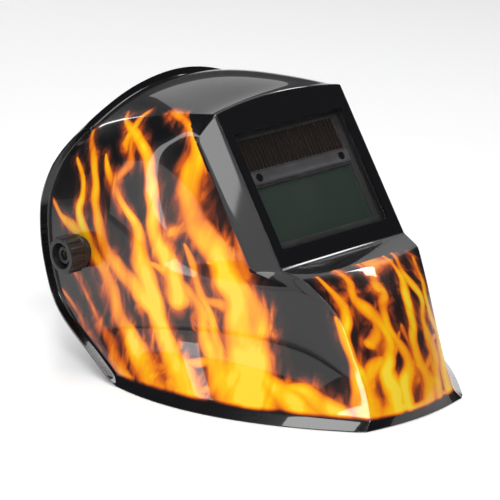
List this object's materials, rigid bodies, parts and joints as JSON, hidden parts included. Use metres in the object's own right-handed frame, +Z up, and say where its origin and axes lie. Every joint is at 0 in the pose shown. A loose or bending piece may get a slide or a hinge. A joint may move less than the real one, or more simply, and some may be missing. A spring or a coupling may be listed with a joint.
{
  "type": "welding helmet",
  "caption": "Full-face welding helmet: glossy shell with a reclined window block, auto-darkening filter cartridge, tension knobs and adjustable ratchet headgear.",
  "frame": {"origin": "centre of the object's footprint on the plane that the shell's bottom rim rests on", "axes": "+X out of the face, +Y to the wearer's left, +Z up from the rest plane"},
  "size_m": [0.381, 0.265, 0.2135],
  "materials": {
    "shell": null,
    "inner_black": "matt moulded nylon",
    "clear_lens": "clear polycarbonate",
    "rubber": "matt",
    "cartridge": "semi-gloss",
    "solar": "dark brown striped cells",
    "filter_glass": "dark green coated glass",
    "sensor_grey": "satin grey",
    "sensor_window": "dark window",
    "board": "solder resist",
    "steel": "zinc plated",
    "dial": "ribbed",
    "button_red": "satin",
    "knob_black": "satin moulded",
    "brass": "plain",
    "headgear": "satin polyethylene",
    "sweat_fabric": "knitted cover over foam",
    "nylon": "natural nylon"
  },
  "bodies": {
    "root": {"helmet_shell": "shell", "lens_carrier": "inner_black", "cover_lens": "clear_lens", "cover_lens_seal": "rubber", "cartridge_front": "cartridge", "cartridge_back": "cartridge", "solar_panel": "solar", "uv_ir_filter": "filter_glass", "liquid_crystal_cell": "filter_glass", "sensor_strip": "sensor_grey", "arc_sensors": "sensor_window", "circuit_board": "board", "button_cells": "steel", "battery_door": "cartridge", "inner_cover_lens": "clear_lens", "latch_screws": "steel", "carrier_screws": "steel", "pivot_bushings": "knob_black", "tilt_stop_discs": "inner_black"},
    "shade_dial_body": {"shade_dial": "dial"},
    "sensitivity_dial_body": {"sensitivity_dial": "dial"},
    "delay_dial_body": {"delay_dial": "dial"},
    "test_button_body": {"test_button": "button_red"},
    "right_latch_body": {"right_latch": "inner_black"},
    "left_latch_body": {"left_latch": "inner_black"},
    "arms": {"pivot_bolts": "knob_black", "pivot_washers": "steel", "headgear_arms": "inner_black"},
    "right_knob_body": {"right_tension_knob": "knob_black", "knob_nuts_right": "brass"},
    "left_knob_body": {"left_tension_knob": "knob_black", "knob_nuts_left": "brass"},
    "headgear": {"headband": "headgear", "slide_studs": "headgear", "sweatband": "sweat_fabric", "sweatband_snaps": "headgear", "crown_strap_right": "headgear", "crown_strap_left": "headgear", "crown_strap_peg": "headgear", "strap_rivets": "headgear", "ratchet_housing": "inner_black", "ratchet_cover": "inner_black", "ratchet_screws": "steel", "ratchet_click_spring": "steel", "nape_pad": "sweat_fabric"},
    "right_rack_body": {"right_rack": "headgear"},
    "left_rack_body": {"left_rack": "headgear"},
    "ratchet_knob_body": {"ratchet_knob": "knob_black", "ratchet_pinion": "nylon"}
  },
  "joints": [
    {"name": "tilt", "type": "hinge", "parent": "root", "child": "arms", "pos_m": [-0.0555, 0, 0.09], "axis": [0, 1, 0], "range_deg": [-35, 50]},
    {"name": "right_tension", "type": "hinge", "parent": "arms", "child": "right_knob_body", "pos_m": [-0.0555, -0.125, 0.09], "axis": [0, -1, 0], "range_deg": [0, 540]},
    {"name": "left_tension", "type": "hinge", "parent": "arms", "child": "left_knob_body", "pos_m": [-0.0555, 0.125, 0.09], "axis": [0, 1, 0], "range_deg": [0, 540]},
    {"name": "fore_aft", "type": "slide", "parent": "arms", "child": "headgear", "axis": [0.9903, 0, 0.1392], "range_m": [-0.012, 0.008]},
    {"name": "size_ratchet", "type": "hinge", "parent": "headgear", "child": "ratchet_knob_body", "pos_m": [-0.16738, 0, 0.08134], "axis": [0.9903, 0, 0.1392], "range_deg": [-60, 60]},
    {"name": "right_band", "type": "slide", "parent": "headgear", "child": "right_rack_body", "axis": [0, 1, 0], "range_m": [-0.0085, 0.0085]},
    {"name": "left_band", "type": "slide", "parent": "headgear", "child": "left_rack_body", "axis": [0, -1, 0], "range_m": [-0.0085, 0.0085]},
    {"name": "shade", "type": "hinge", "parent": "root", "child": "shade_dial_body", "pos_m": [0.03721, -0.038, 0.16542], "axis": [-0.8181, 0, -0.575], "range_deg": [0, 270]},
    {"name": "sensitivity", "type": "hinge", "parent": "root", "child": "sensitivity_dial_body", "pos_m": [0.03721, -0.016, 0.16542], "axis": [-0.8181, 0, -0.575], "range_deg": [0, 270]},
    {"name": "delay", "type": "hinge", "parent": "root", "child": "delay_dial_body", "pos_m": [0.03721, 0.006, 0.16542], "axis": [-0.8181, 0, -0.575], "range_deg": [0, 270]},
    {"name": "test_press", "type": "slide", "parent": "root", "child": "test_button_body", "axis": [0.8181, 0, 0.575], "range_m": [0, 0.0012], "stiffness_N_per_m": 400},
    {"name": "right_latch_turn", "type": "hinge", "parent": "root", "child": "right_latch_body", "pos_m": [0.08275, -0.03, 0.10062], "axis": [0.8181, 0, 0.575], "range_deg": [-90, 0]},
    {"name": "left_latch_turn", "type": "hinge", "parent": "root", "child": "left_latch_body", "pos_m": [0.08275, 0.03, 0.10062], "axis": [0.8181, 0, 0.575], "range_deg": [0, 90]}
  ],
  "couplings": [
    {"joint": "right_band", "follows": "size_ratchet", "m_per_rad": 0.008},
    {"joint": "left_band", "follows": "size_ratchet", "m_per_rad": 0.008}
  ]
}
